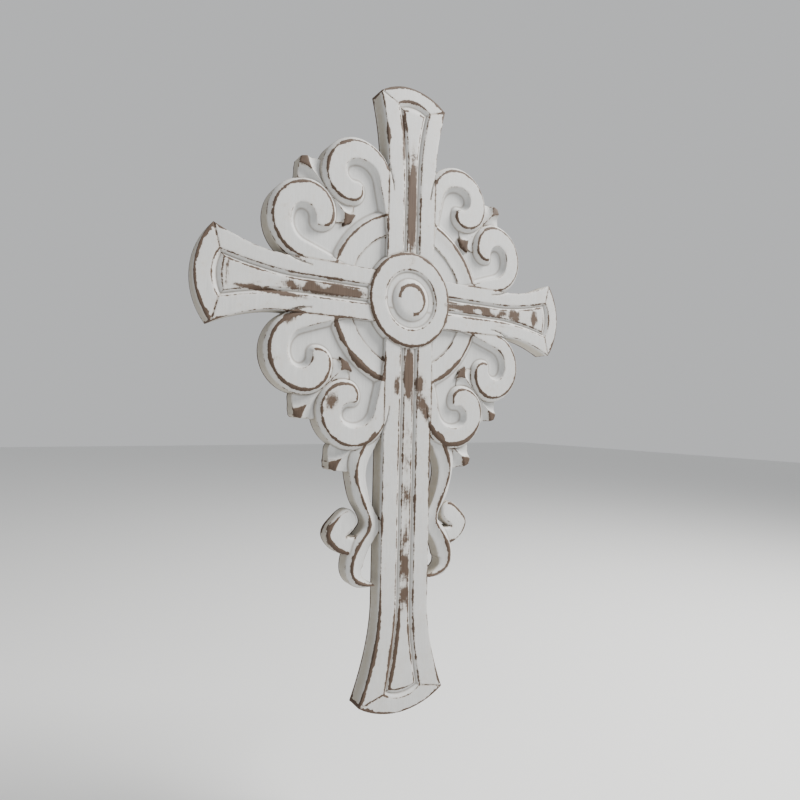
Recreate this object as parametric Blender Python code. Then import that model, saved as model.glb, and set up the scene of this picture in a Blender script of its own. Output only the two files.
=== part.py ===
"""A carved wall cross: one board with flared arms, a boss, a ring, scrolls, leaves and fretwork.

Metres, +Z up. The board's back lies on Y = 0, its front faces -Y, and the boss is centred on X = 0, Z = 0.
"""
import math

import bmesh
import bpy

for old in list(bpy.data.objects):
    bpy.data.objects.remove(old, do_unlink=True)

# The board
BOARD = 0.018             # thickness, from the back to the flat front of the arms
GROUND_DEPTH = 0.0055     # how far the ground between the scrolls lies below the front
EDGE_SLOPE = 0.004        # width and depth of the slope around the scrolls' outer edges

# The arms: half width at the boss, half width at the corners, where the flare starts, where the corners
# are, how far the curved end bulges past them, and how quickly the flare opens
TOP_ARM = (0.0250, 0.0346, 0.105, 0.1815, 0.0112, 2.2)
SIDE_ARM = (0.0225, 0.0374, 0.120, 0.1758, 0.0129, 1.8)
FOOT_ARM = (0.0250, 0.0434, 0.272, 0.3530, 0.0130, 1.8)

# The sunk field on each arm, in the same order, then the raised panel inside it
TOP_FIELD = (0.0088, 0.0170, 0.105, 0.1745, 0.0055, 2.2)
TOP_PANEL = (0.0040, 0.0106, 0.105, 0.1700, 0.0014, 2.2)
SIDE_FIELD = (0.0085, 0.0180, 0.105, 0.1705, 0.0055, 1.8)
SIDE_PANEL = (0.0038, 0.0127, 0.105, 0.1667, 0.0016, 1.8)
FOOT_FIELD = (0.0092, 0.0187, 0.272, 0.3465, 0.0066, 1.8)
FOOT_PANEL = (0.0044, 0.0133, 0.272, 0.3436, 0.0020, 1.8)
GROOVE_DEPTH = 0.0022     # bottom of the V groove between field and panel, below the front
PANEL_DROP = 0.0004       # top of the panel, below the front

# The boss: radii and heights above the front, from the middle outwards
KNOB_RADIUS = 0.0132
KNOB_RISE = 0.0030
DOME_RADIUS = 0.0172
DOME_RISE = 0.0018
DISH_RADIUS = 0.0215
DISH_DROP = 0.0012
RIM_INNER = 0.0272
RIM_OUTER = 0.0418
RIM_RISE = 0.0018
RIM_SLOPE = 0.0026        # width of the slope around the rim

# The ring behind the arms
RING_CREST = 0.0772
RING_CREST_DROP = 0.0021
RING_OUTER = 0.0825
RING_STEP = 0.0602
RING_STEP_DROP = 0.0030
RING_FIELD_DROP = 0.0042

# One scroll, drawn with a compass: across is the distance from the arm's middle, along from the boss
SCROLL_CENTRE = (0.0537, 0.0995)
SCROLL_RADIUS = 0.0310
SCROLL_TURN_RADIUS = 0.0217
SCROLL_TAIL_RADIUS = 0.0106
SCROLL_TIP_RADIUS = 0.0030
EYE_FROM_TAIL = (-0.0044, 0.0153)   # the hollow's centre, from the centre of the scroll's tail
EYE_RADIUS = 0.0102
EYE_SWEEP_RADIUS = 0.0190
TOP_STEM = 0.0600         # where the scroll's inner edge leaves the upright
SIDE_STEM = 0.0660        # where it leaves a side arm
TAIL_STEEPENING = 0.6      # how much of the inner wall's shape the outer edge has taken on at the tip
COVE_STEP = (0.0016, 0.0040)   # the inner wall's steep top part, across and down
COVE_WIDTH = 0.0052       # the inner wall's whole width, down to the ground

# The leaves: where each starts and points, how long it is, and how wide; then places along a leaf, as
# (share of its length, share of its half width, depth below the front)
OUTER_LEAF = ((0.0790, 0.0790), 45.0, 0.0385, 0.0150)
LOWER_LEAF = ((0.0430, -0.1240), -39.0, 0.0405, 0.0150)
BUD = ((0.0830, 0.0830), 225.0, 0.0290, 0.0140)
LEAF_ROOT = (0.0, 0.0, 0.0045)
LEAF_HIP = (0.0, 1.0, 0.0064)
LEAF_FOOT = (0.70, 0.95, 0.0068)
LEAF_APEX = (0.67, 0.0, 0.0028)
LEAF_SHOULDER = (0.92, 0.36, 0.0040)
LEAF_TIP = (1.0, 0.0, 0.0048)

# The fretwork strip beside the shaft: crest across and up, then width inside and outside the crest
STRIP = (
    (0.0310, -0.1160, 0.0090, 0.0090),
    (0.0410, -0.1285, 0.0110, 0.0100),
    (0.0480, -0.1430, 0.0110, 0.0080),
    (0.0495, -0.1580, 0.0105, 0.0050),
    (0.0435, -0.1750, 0.0080, 0.0065),
    (0.0367, -0.1905, 0.0075, 0.0045),
    (0.0353, -0.1990, 0.0125, 0.0040),
    (0.0378, -0.2060, 0.0105, 0.0050),
    (0.0450, -0.2160, 0.0110, 0.0062),
    (0.0505, -0.2270, 0.0120, 0.0056),
    (0.0515, -0.2380, 0.0110, 0.0052),
    (0.0465, -0.2460, 0.0075, 0.0050),
    (0.0385, -0.2500, 0.0040, 0.0035),
    (0.0290, -0.2520, 0.0010, 0.0010),
)
STRIP_CREST_DROP = 0.0018
STRIP_INNER_DROP = 0.0045
STRIP_OUTER_DROP = 0.0055

# The fretwork's outward curl, from the strip round its notch and head and back into the strip
CURL = (
    (0.0410, -0.2085), (0.0470, -0.2105), (0.0530, -0.2105), (0.0572, -0.2085), (0.0545, -0.2050),
    (0.0500, -0.2015), (0.0472, -0.1965), (0.0482, -0.1905), (0.0535, -0.1870), (0.0590, -0.1885),
    (0.0650, -0.1935), (0.0712, -0.2000), (0.0727, -0.2060), (0.0695, -0.2125), (0.0630, -0.2185),
    (0.0550, -0.2215), (0.0460, -0.2195),
)
CURL_DROP = 0.0042        # its face at the bottom, below the front
CURL_FALL = 0.10          # how much lower the face gets for each metre further up
CURL_SLOPE = 0.0022

DEGREES_PER_STEP = 16.0   # how finely the arcs of the scrolls are cut
TURNED_STEPS = 40         # sides of the boss and of the ring
FLARE_STEPS = 6           # pieces in each flare and in half of each curved end
OVERLAP = 0.0004          # how far joined shapes run into each other
SHRINK = 0.9              # how much a slope narrows at a time, where it would meet the one opposite
NARROWEST = 0.0001        # the least that a slope narrows to


def arc(centre, radius, start, end):
    """Points on a circle, from the angle start to the angle end in degrees."""
    steps = max(1, math.ceil(abs(end - start) / DEGREES_PER_STEP))
    points = []
    for step in range(steps + 1):
        angle = math.radians(start + (end - start) * step / steps)
        points.append((centre[0] + radius * math.cos(angle), centre[1] + radius * math.sin(angle)))
    return points


def beyond(centre, distance, angle):
    """The point at a distance from a centre, in the direction of an angle in degrees."""
    turn = math.radians(angle)
    return centre[0] + distance * math.cos(turn), centre[1] + distance * math.sin(turn)


def curve_through(rows, steps, closed):
    """Rows of numbers read from a smooth curve through the given rows."""
    count = len(rows)
    found = []
    for place in range(count if closed else count - 1):
        if closed:
            around = [rows[(place + shift) % count] for shift in (-1, 0, 1, 2)]
        else:
            around = [rows[min(max(place + shift, 0), count - 1)] for shift in (-1, 0, 1, 2)]
        for step in range(steps):
            t = step / steps
            weights = (-t + 2 * t ** 2 - t ** 3, 2 - 5 * t ** 2 + 3 * t ** 3,
                       t + 4 * t ** 2 - 3 * t ** 3, t ** 3 - t ** 2)
            found.append(tuple(sum(w * v for w, v in zip(weights, column)) / 2 for column in zip(*around)))
    if not closed:
        found.append(tuple(rows[-1]))
    return found


def outward(outline, place):
    """The mitred outward direction at one point of an anticlockwise outline."""
    before = outline[place - 1]
    here = outline[place]
    after = outline[(place + 1) % len(outline)]
    normals = []
    for start, end in ((before, here), (here, after)):
        run = math.dist(start, end)
        normals.append(((end[1] - start[1]) / run, (start[0] - end[0]) / run))
    across = (normals[0][0] + normals[1][0], normals[0][1] + normals[1][1])
    scale = 2 / max(across[0] ** 2 + across[1] ** 2, 1.0)
    return across[0] * scale, across[1] * scale


def clearance(point, outline):
    """How far a point is from an outline."""
    nearest = math.inf
    for start, end in zip(outline, outline[1:] + outline[:1]):
        run = (end[0] - start[0], end[1] - start[1])
        gone = (point[0] - start[0]) * run[0] + (point[1] - start[1]) * run[1]
        along = min(max(gone / (run[0] ** 2 + run[1] ** 2), 0.0), 1.0)
        nearest = min(nearest, math.dist(point, (start[0] + run[0] * along, start[1] + run[1] * along)))
    return nearest


def anticlockwise(points):
    """The same outline in anticlockwise order; each point starts with its two coordinates."""
    area = sum(a[0] * b[1] - b[0] * a[1] for a, b in zip(points, points[1:] + points[:1]))
    return points if area > 0 else points[::-1]


def parallel(outline, distances):
    """An anticlockwise outline moved outwards, a distance at each point, less where it would meet itself."""
    moved = []
    for place, distance in enumerate(distances):
        across, up = outward(outline, place)
        x, z = outline[place]
        point = (x + across * distance, z + up * distance)
        while distance > NARROWEST and clearance(point, outline) < SHRINK * distance:
            distance *= SHRINK
            point = (x + across * distance, z + up * distance)
        moved.append(point)
    return moved


def solid(name, rings):
    """A closed solid through rings of points, each a list of (x, y, z), with both ends filled."""
    shape = bmesh.new()
    levels = [[shape.verts.new(point) for point in ring] for ring in rings]
    for below, above in zip(levels, levels[1:]):
        for place in range(len(below)):
            shape.faces.new((below[place - 1], below[place], above[place], above[place - 1]))
    shape.faces.new(levels[0])
    shape.faces.new(levels[-1])
    return finished(name, shape)


def finished(name, shape):
    """An object made of a bmesh, in triangles that are turned outwards."""
    bmesh.ops.recalc_face_normals(shape, faces=shape.faces)
    bmesh.ops.triangulate(shape, faces=shape.faces)
    mesh = bpy.data.meshes.new(name)
    shape.to_mesh(mesh)
    shape.free()
    made = bpy.data.objects.new(name, mesh)
    bpy.context.scene.collection.objects.link(made)
    return made


def moulded(name, plan, profile):
    """A solid with the same profile, rows of (distance out, height), all the way round an outline."""
    outline = anticlockwise(plan)
    rings = []
    for distance, height in profile:
        rings.append([(x, -height, z) for x, z in parallel(outline, [distance] * len(outline))])
    return solid(name, rings)


def turned(name, profile):
    """A solid turned about the boss's axis from rows of (radius, height above the back)."""
    shape = bmesh.new()
    verts = [shape.verts.new((radius, -height, 0)) for radius, height in profile]
    edges = [shape.edges.new(pair) for pair in zip(verts, verts[1:])]
    bmesh.ops.spin(shape, geom=verts + edges, cent=(0, 0, 0), axis=(0, 1, 0), angle=math.tau,
                   steps=TURNED_STEPS, use_merge=True)
    bmesh.ops.remove_doubles(shape, verts=shape.verts, dist=1e-6)
    return finished(name, shape)


def combine(body, tool, operation):
    """Join a tool to the body, or cut it away, and drop the tool."""
    modifier = body.modifiers.new(operation.title(), "BOOLEAN")
    modifier.operation = operation
    modifier.solver = "EXACT"
    modifier.object = tool
    graph = bpy.context.evaluated_depsgraph_get()
    mesh = bpy.data.meshes.new_from_object(body.evaluated_get(graph))
    body.modifiers.clear()
    body.data = mesh
    bpy.data.objects.remove(tool)


def arm_outline(sizes, start):
    """One arm's outline along +Z from start: a flared shape with a bulging end."""
    narrow, wide, flare, corner, bulge, power = sizes
    side = [(narrow, start), (narrow, flare)]
    for step in range(1, FLARE_STEPS + 1):
        share = step / FLARE_STEPS
        side.append((narrow + (wide - narrow) * share ** power, flare + (corner - flare) * share))
    radius = (wide ** 2 + bulge ** 2) / (2 * bulge)
    middle = corner + bulge - radius
    half = math.asin(wide / radius)
    end = []
    for step in range(1, FLARE_STEPS):
        angle = half - 2 * half * step / FLARE_STEPS
        end.append((radius * math.sin(angle), middle + radius * math.cos(angle)))
    return side + end + [(-across, along) for across, along in reversed(side)]


def aimed(points, direction):
    """Points of an arm drawn along +Z, turned to point up, down, left or right."""
    a, b, c, d = {"up": (1, 0, 0, 1), "down": (-1, 0, 0, -1), "right": (0, 1, -1, 0),
                  "left": (0, -1, 1, 0)}[direction]
    return [(across * a + along * b, across * c + along * d) for across, along in points]


def scroll_plan(half_width, stem):
    """A scroll beside an arm, as (across, along, inner): inner is 0 on its outer edge, 1 on its inner one."""
    turn_end = -98.0
    tail_end = -196.0
    eye_end = 60.0
    turn_centre = beyond(SCROLL_CENTRE, SCROLL_RADIUS - SCROLL_TURN_RADIUS, 0)
    tail_centre = beyond(turn_centre, SCROLL_TURN_RADIUS - SCROLL_TAIL_RADIUS, turn_end)
    tip_centre = beyond(tail_centre, SCROLL_TAIL_RADIUS - SCROLL_TIP_RADIUS, tail_end)
    eye_centre = (tail_centre[0] + EYE_FROM_TAIL[0], tail_centre[1] + EYE_FROM_TAIL[1])
    sweep_centre = beyond(eye_centre, EYE_RADIUS - EYE_SWEEP_RADIUS, eye_end)
    foot = (half_width, stem)
    bearing = math.degrees(math.atan2(sweep_centre[1] - foot[1], sweep_centre[0] - foot[0]))
    lean = math.degrees(math.asin(EYE_SWEEP_RADIUS / math.dist(foot, sweep_centre)))

    outer = arc(SCROLL_CENTRE, SCROLL_RADIUS, 172.0, 0.0)
    outer += arc(turn_centre, SCROLL_TURN_RADIUS, 0.0, turn_end)[1:]
    outer += arc(tail_centre, SCROLL_TAIL_RADIUS, turn_end, tail_end)[1:]
    tip = arc(tip_centre, SCROLL_TIP_RADIUS, tail_end, tail_end - 70.0)[1:]
    inner = arc(eye_centre, EYE_RADIUS, -94.0, eye_end)
    inner += arc(sweep_centre, EYE_SWEEP_RADIUS, eye_end, bearing + lean + 90.0)[1:]
    inner.append(beyond(foot, COVE_WIDTH, bearing + lean + 180.0))
    tail_steps = math.ceil(abs(tail_end - turn_end) / DEGREES_PER_STEP)
    points = [(across, along, 0.0) for across, along in outer[:-tail_steps]]
    for step, (across, along) in enumerate(outer[-tail_steps:], 1):
        points.append((across, along, TAIL_STEEPENING * step / tail_steps))
    for place, (across, along) in enumerate(tip, 1):
        points.append((across, along, TAIL_STEEPENING + (1 - TAIL_STEEPENING) * place / (len(tip) + 1)))
    points += [(across, along, 1.0) for across, along in inner]
    inside = half_width / 2
    return points + [(inside, stem - COVE_WIDTH, 0.0), (inside, SCROLL_CENTRE[1], 0.0)]


def scroll(name, half_width, stem, beside_upright, flip_x, flip_z):
    """A scroll: a slope round its outer edge, and a steep hollow wall down to the ground on its inner."""
    plan = []
    for across, along, inner in scroll_plan(half_width, stem):
        x, z = (across, along) if beside_upright else (along, across)
        plan.append((x * flip_x, z * flip_z, inner))
    plan = anticlockwise(plan)
    outline = [(x, z) for x, z, inner in plan]
    sunk = BOARD - GROUND_DEPTH - OVERLAP
    rows = (((0.0, BOARD), (0.0, BOARD)),
            ((EDGE_SLOPE, BOARD - EDGE_SLOPE), (COVE_STEP[0], BOARD - COVE_STEP[1])),
            ((EDGE_SLOPE, sunk), (COVE_WIDTH, sunk)),
            ((EDGE_SLOPE, 0.0), (COVE_WIDTH, 0.0)))
    rings = []
    for (out, out_height), (cove, cove_height) in rows:
        moved = parallel(outline, [out + (cove - out) * inner for x, z, inner in plan])
        heights = [out_height + (cove_height - out_height) * inner for x, z, inner in plan]
        rings.append([(x, -height, z) for (x, z), height in zip(moved, heights)])
    return solid(name, rings)


def leaf(name, sizes, flip_x, flip_z):
    """A leaf with a ridge from its root to a flat at its tip, and a sloping petal on each side."""
    root, angle, length, half_width = sizes
    turn = math.radians(angle)
    shape = bmesh.new()
    top = []
    base = []
    places = ((LEAF_APEX, 0), (LEAF_ROOT, 0), (LEAF_HIP, -1), (LEAF_FOOT, -1), (LEAF_SHOULDER, -1),
              (LEAF_TIP, 0), (LEAF_SHOULDER, 1), (LEAF_FOOT, 1), (LEAF_HIP, 1))
    for (along, aside, drop), side in places:
        u = along * length
        v = aside * half_width * side
        x = (root[0] + u * math.cos(turn) - v * math.sin(turn)) * flip_x
        z = (root[1] + u * math.sin(turn) + v * math.cos(turn)) * flip_z
        top.append(shape.verts.new((x, drop - BOARD, z)))
        base.append(shape.verts.new((x, 0.0, z)))
    apex, *border = top
    below = base[1:]
    shape.verts.remove(base[0])
    for place in range(len(border)):
        shape.faces.new((apex, border[place - 1], border[place]))
        shape.faces.new((border[place - 1], border[place], below[place], below[place - 1]))
    shape.faces.new(below)
    return finished(name, shape)


def curl(name, flip_x):
    """The fretwork's curl: a face that falls towards its head, with a slope round it."""
    outline = anticlockwise([(x * flip_x, z) for x, z in curve_through(CURL, 2, closed=True)])
    low = min(z for x, z in outline)
    heights = [BOARD - CURL_DROP - CURL_FALL * (z - low) for x, z in outline]
    foot = parallel(outline, [CURL_SLOPE] * len(outline))
    return solid(name, [
        [(x, 0.0, z) for x, z in foot],
        [(x, CURL_SLOPE - height, z) for (x, z), height in zip(foot, heights)],
        [(x, -height, z) for (x, z), height in zip(outline, heights)]])


def strip(name, flip_x):
    """The fretwork strip: a crest with a slope on each side, swept down beside the shaft."""
    rows = curve_through(STRIP, 2, closed=False)
    rings = []
    for place, (x, z, inside, outside) in enumerate(rows):
        before = rows[max(place - 1, 0)]
        after = rows[min(place + 1, len(rows) - 1)]
        run = math.hypot(after[0] - before[0], after[1] - before[1])
        inward = ((after[1] - before[1]) / run, (before[0] - after[0]) / run)
        inner = (x + inward[0] * inside, z + inward[1] * inside)
        outer = (x - inward[0] * outside, z - inward[1] * outside)
        rings.append([(flip_x * point[0], -height, point[1]) for point, height in (
            (inner, 0.0), (inner, BOARD - STRIP_INNER_DROP), ((x, z), BOARD - STRIP_CREST_DROP),
            (outer, BOARD - STRIP_OUTER_DROP), (outer, 0.0))])
    return solid(name, rings)


def panelled(body, field, panel, direction):
    """Cut a V groove round a raised panel on an arm, starting under the boss."""
    rim = anticlockwise(aimed(arm_outline(field, RIM_INNER), direction))
    crown = anticlockwise(aimed(arm_outline(panel, RIM_INNER), direction))
    floor = [((a[0] + b[0]) / 2, (a[1] + b[1]) / 2) for a, b in zip(rim, crown)]
    above = [(2 * a[0] - b[0], 2 * a[1] - b[1]) for a, b in zip(rim, floor)]
    bottom = GROOVE_DEPTH - BOARD
    combine(body, solid("field", [[(x, -BOARD - GROOVE_DEPTH, z) for x, z in above],
                                  [(x, bottom, z) for x, z in floor]]), "DIFFERENCE")
    combine(body, solid("panel", [[(x, bottom + GROOVE_DEPTH, z) for x, z in floor],
                                  [(x, bottom, z) for x, z in floor],
                                  [(x, PANEL_DROP - BOARD, z) for x, z in crown]]), "UNION")


wood = bpy.data.materials.new("whitewashed_wood")
wood.use_nodes = True
wood.node_tree.nodes["Principled BSDF"].inputs["Base Color"].default_value = (0.62, 0.61, 0.58, 1.0)
wood.node_tree.nodes["Principled BSDF"].inputs["Roughness"].default_value = 0.75
wood.node_tree.nodes["Principled BSDF"].inputs["Metallic"].default_value = 0.0

# The four arms, one solid
slab = ((0.0, 0.0), (0.0, BOARD))
past_middle = -0.4 * SIDE_ARM[0]
cross = moulded("carved_cross", aimed(arm_outline(TOP_ARM, past_middle), "up"), slab)
for sizes, direction in ((FOOT_ARM, "down"), (SIDE_ARM, "left"), (SIDE_ARM, "right")):
    combine(cross, moulded("arm", aimed(arm_outline(sizes, past_middle), direction), slab), "UNION")

# The ground between the scrolls, which ends under them, and the ring
under = arc(SCROLL_CENTRE, 0.6 * SCROLL_RADIUS, 170.0, -30.0)
ground = [(0.0, 0.0)] + [(along, across) for across, along in under] + under[::-1]
for flip_x in (1, -1):
    for flip_z in (1, -1):
        plan = [(x * flip_x, z * flip_z) for x, z in ground]
        combine(cross, moulded("ground", plan, ((0.0, 0.0), (0.0, BOARD - GROUND_DEPTH))), "UNION")
combine(cross, turned("ring", (
    (0.0, 0.0), (RING_OUTER, 0.0), (RING_OUTER, BOARD - GROUND_DEPTH - OVERLAP),
    (RING_CREST, BOARD - RING_CREST_DROP), (RING_STEP + OVERLAP, BOARD - RING_STEP_DROP),
    (RING_STEP, BOARD - RING_FIELD_DROP), (0.0, BOARD - RING_FIELD_DROP))), "UNION")

# The leaves, the fretwork and the scrolls
for flip_x in (1, -1):
    for flip_z in (1, -1):
        combine(cross, leaf("leaf", OUTER_LEAF, flip_x, flip_z), "UNION")
        combine(cross, leaf("bud", BUD, flip_x, flip_z), "UNION")
    combine(cross, leaf("lower_leaf", LOWER_LEAF, flip_x, 1), "UNION")
    combine(cross, strip("strip", flip_x), "UNION")
    combine(cross, curl("curl", flip_x), "UNION")
for flip_x in (1, -1):
    for flip_z in (1, -1):
        combine(cross, scroll("scroll", TOP_ARM[0], TOP_STEM, True, flip_x, flip_z), "UNION")
        combine(cross, scroll("scroll", SIDE_ARM[0], SIDE_STEM, False, flip_x, flip_z), "UNION")

# The sunk grooves round the raised panels, and the boss over their inner ends
panelled(cross, TOP_FIELD, TOP_PANEL, "up")
panelled(cross, SIDE_FIELD, SIDE_PANEL, "left")
panelled(cross, SIDE_FIELD, SIDE_PANEL, "right")
panelled(cross, FOOT_FIELD, FOOT_PANEL, "down")
combine(cross, turned("boss", (
    (0.0, 0.0), (RIM_OUTER + RIM_SLOPE, 0.0), (RIM_OUTER + RIM_SLOPE, BOARD - RING_FIELD_DROP),
    (RIM_OUTER, BOARD + RIM_RISE), (RIM_INNER, BOARD + RIM_RISE), (DISH_RADIUS, BOARD - DISH_DROP),
    (DOME_RADIUS, BOARD + DOME_RISE), (KNOB_RADIUS, BOARD + KNOB_RISE),
    (0.0, BOARD + KNOB_RISE))), "UNION")
cross.data.materials.clear()
cross.data.materials.append(wood)
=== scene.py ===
"""The looks of a carved wall cross: white paint rubbed back to brown wood, on one finely carved board."""
import itertools
import math

import bmesh
import bpy
import numpy as np
from mathutils import Matrix, Vector, kdtree, noise


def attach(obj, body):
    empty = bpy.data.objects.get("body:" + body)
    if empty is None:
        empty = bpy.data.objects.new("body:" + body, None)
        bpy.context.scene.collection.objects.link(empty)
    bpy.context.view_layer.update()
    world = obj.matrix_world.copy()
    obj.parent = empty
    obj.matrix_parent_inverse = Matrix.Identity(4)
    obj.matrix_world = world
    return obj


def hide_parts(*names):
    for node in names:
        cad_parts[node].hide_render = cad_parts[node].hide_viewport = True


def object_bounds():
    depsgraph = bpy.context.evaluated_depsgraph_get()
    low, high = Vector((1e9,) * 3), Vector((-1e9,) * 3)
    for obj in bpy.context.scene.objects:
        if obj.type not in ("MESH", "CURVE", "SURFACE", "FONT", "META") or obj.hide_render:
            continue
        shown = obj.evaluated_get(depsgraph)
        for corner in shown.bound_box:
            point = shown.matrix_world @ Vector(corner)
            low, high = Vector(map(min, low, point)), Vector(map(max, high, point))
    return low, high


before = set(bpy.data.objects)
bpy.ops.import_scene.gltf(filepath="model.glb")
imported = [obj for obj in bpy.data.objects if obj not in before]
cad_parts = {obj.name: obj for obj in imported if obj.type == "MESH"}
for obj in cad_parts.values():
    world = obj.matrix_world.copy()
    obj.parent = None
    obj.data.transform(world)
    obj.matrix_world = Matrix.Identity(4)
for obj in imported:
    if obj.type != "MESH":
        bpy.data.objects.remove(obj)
cad_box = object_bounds()


# The arms. One wooden board, sawn to its outline: an upright and two side arms, which flare towards curved
# ends. A fine V is cut across the border from each corner, as where a picture frame's sides meet.
# Metres; X to the right, Z up, the flat back on Y = 0 and the carved front towards -Y.
BOARD = 0.018
# half width at the boss, half width at the corners, where the flare starts, where the corners are, how far
# the curved end bulges past them, and how quickly the flare opens
TOP_ARM = (0.0250, 0.0346, 0.105, 0.1815, 0.0112, 2.2)
SIDE_ARM = (0.0225, 0.0374, 0.120, 0.1758, 0.0129, 1.8)
FOOT_ARM = (0.0250, 0.0434, 0.272, 0.3530, 0.0130, 1.8)
TURNS = {"up": (1, 0, 0, 1), "down": (-1, 0, 0, -1), "right": (0, 1, -1, 0), "left": (0, -1, 1, 0)}
# the same for the two outlines inside each arm: the outer edge of its groove, and the raised panel's edge
FIELDS = {
    "up": ((0.0088, 0.0170, 0.105, 0.1745, 0.0055, 2.2), (0.0040, 0.0106, 0.105, 0.1700, 0.0014, 2.2)),
    "left": ((0.0085, 0.0180, 0.105, 0.1705, 0.0055, 1.8), (0.0038, 0.0127, 0.105, 0.1667, 0.0016, 1.8)),
    "right": ((0.0085, 0.0180, 0.105, 0.1705, 0.0055, 1.8), (0.0038, 0.0127, 0.105, 0.1667, 0.0016, 1.8)),
    "down": ((0.0092, 0.0187, 0.272, 0.3465, 0.0066, 1.8), (0.0044, 0.0133, 0.272, 0.3436, 0.0020, 1.8)),
}
ARMS = {"up": TOP_ARM, "left": SIDE_ARM, "right": SIDE_ARM, "down": FOOT_ARM}
MITRE_WIDTH = 0.0007
MITRE_DEPTH = 0.0005
# the mitre line starts outside the corner, and just beside it, so that no cut runs exactly through an edge
MITRE_SHARES = (-0.18, 0.45, 0.95)
OFF_CORNER = 0.0003
CUT_FADE = 0.85
FLARE_STEPS = 16
PAST_MIDDLE = -0.009
SHIM = 0.000003
MERGE = 0.000001
shims = itertools.count(1)


def arm_outline(sizes, start):
    """One arm's outline along +Z from start: a flared shape with a bulging end."""
    narrow, wide, flare, corner, bulge, power = sizes
    side = [(narrow, start), (narrow, flare)]
    for step in range(1, FLARE_STEPS + 1):
        share = step / FLARE_STEPS
        side.append((narrow + (wide - narrow) * share ** power, flare + (corner - flare) * share))
    radius = (wide ** 2 + bulge ** 2) / (2 * bulge)
    middle = corner + bulge - radius
    half = math.asin(wide / radius)
    end = []
    for step in range(1, FLARE_STEPS):
        angle = half - 2 * half * step / FLARE_STEPS
        end.append((radius * math.sin(angle), middle + radius * math.cos(angle)))
    return side + end + [(-across, along) for across, along in reversed(side)]


def aimed(points, direction):
    """Points of an arm drawn along +Z, turned to point up, down, left or right."""
    a, b, c, d = TURNS[direction]
    return [(across * a + along * b, across * c + along * d) for across, along in points]


def anticlockwise(points):
    """The same outline in anticlockwise order; each point starts with its two coordinates."""
    area = sum(a[0] * b[1] - b[0] * a[1] for a, b in zip(points, points[1:] + points[:1]))
    return points if area > 0 else points[::-1]


def placed(name, shape):
    """A bmesh made into an object, in triangles that are turned outwards."""
    bmesh.ops.recalc_face_normals(shape, faces=shape.faces)
    bmesh.ops.triangulate(shape, faces=shape.faces)
    mesh = bpy.data.meshes.new(name)
    shape.to_mesh(mesh)
    shape.free()
    made = bpy.data.objects.new(name, mesh)
    bpy.context.scene.collection.objects.link(made)
    return made


def carved(name, rings):
    """A solid drawn ring by ring: a face on the first ring, extruded to each of the others in turn."""
    shape = bmesh.new()
    face = shape.faces.new([shape.verts.new(point) for point in rings[0]])
    face.normal_update()
    for ring in rings[1:]:
        grown = bmesh.ops.extrude_face_region(shape, geom=[face, *face.edges])["geom"]
        face = next(item for item in grown if isinstance(item, bmesh.types.BMFace))
        for vert, point in zip(face.verts, ring):
            vert.co = point
    return placed(name, shape)


def join(body, tool, operation="UNION"):
    """Join a shape to the board, or cut it away. Each shape is shimmed back by a hair more than the one
    before, so that no two faces share a plane."""
    tool.data.transform(Matrix.Translation((0, SHIM * next(shims), 0)))
    modifier = body.modifiers.new(operation.title(), "BOOLEAN")
    modifier.operation = operation
    modifier.solver = "EXACT"
    modifier.object = tool
    mesh = bpy.data.meshes.new_from_object(body.evaluated_get(bpy.context.evaluated_depsgraph_get()))
    body.modifiers.clear()
    body.data = mesh
    bpy.data.objects.remove(tool)


def slab(name, plan, height):
    """A flat piece of the board with a plain sawn edge."""
    outline = anticlockwise(plan)
    return carved(name, [[(x, 0.0, z) for x, z in outline], [(x, -height, z) for x, z in outline]])


def v_cut(name, line, width, depth):
    """A knife-like shape along a line of points, which cuts a V that fades out at the line's end."""
    rings = []
    for place, (x, z) in enumerate(line):
        before = line[max(place - 1, 0)]
        after = line[min(place + 1, len(line) - 1)]
        run = math.dist(before, after)
        side = ((after[1] - before[1]) / run, (before[0] - after[0]) / run)
        fade = 1.0 - CUT_FADE * (place / (len(line) - 1)) ** 2
        half = width * fade
        rings.append([(x + side[0] * half, -BOARD - depth * fade, z + side[1] * half),
                      (x, depth * fade - BOARD, z),
                      (x - side[0] * half, -BOARD - depth * fade, z - side[1] * half)])
    return carved(name, rings)


cross = slab("carved_wood", aimed(arm_outline(TOP_ARM, PAST_MIDDLE), "up"), BOARD)
for sizes, direction in ((FOOT_ARM, "down"), (SIDE_ARM, "left"), (SIDE_ARM, "right")):
    join(cross, slab("arm", aimed(arm_outline(sizes, PAST_MIDDLE), direction), BOARD))
for direction, (field, panel) in FIELDS.items():
    for side in (1, -1):
        corner = (side * (ARMS[direction][1] + OFF_CORNER), ARMS[direction][3])
        inner_corner = (side * field[1], field[3])
        line = [tuple(a + (b - a) * share for a, b in zip(corner, inner_corner)) for share in MITRE_SHARES]
        join(cross, v_cut("mitre", aimed(line, direction), MITRE_WIDTH, MITRE_DEPTH), "DIFFERENCE")


# The ground and the ring. Between the arms the board is cut down to a flat ground. A ring round the boss
# stands on it, carved from the same wood, with a worn crest, a long hollow slope inwards and a small step.
GROUND_DEPTH = 0.0055
OVERLAP = 0.0004
SCROLL_CENTRE = (0.0537, 0.0995)
SCROLL_RADIUS = 0.0310
RING_CREST = 0.0772
RING_OUTER = 0.0825
RING_STEP = 0.0602
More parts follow.
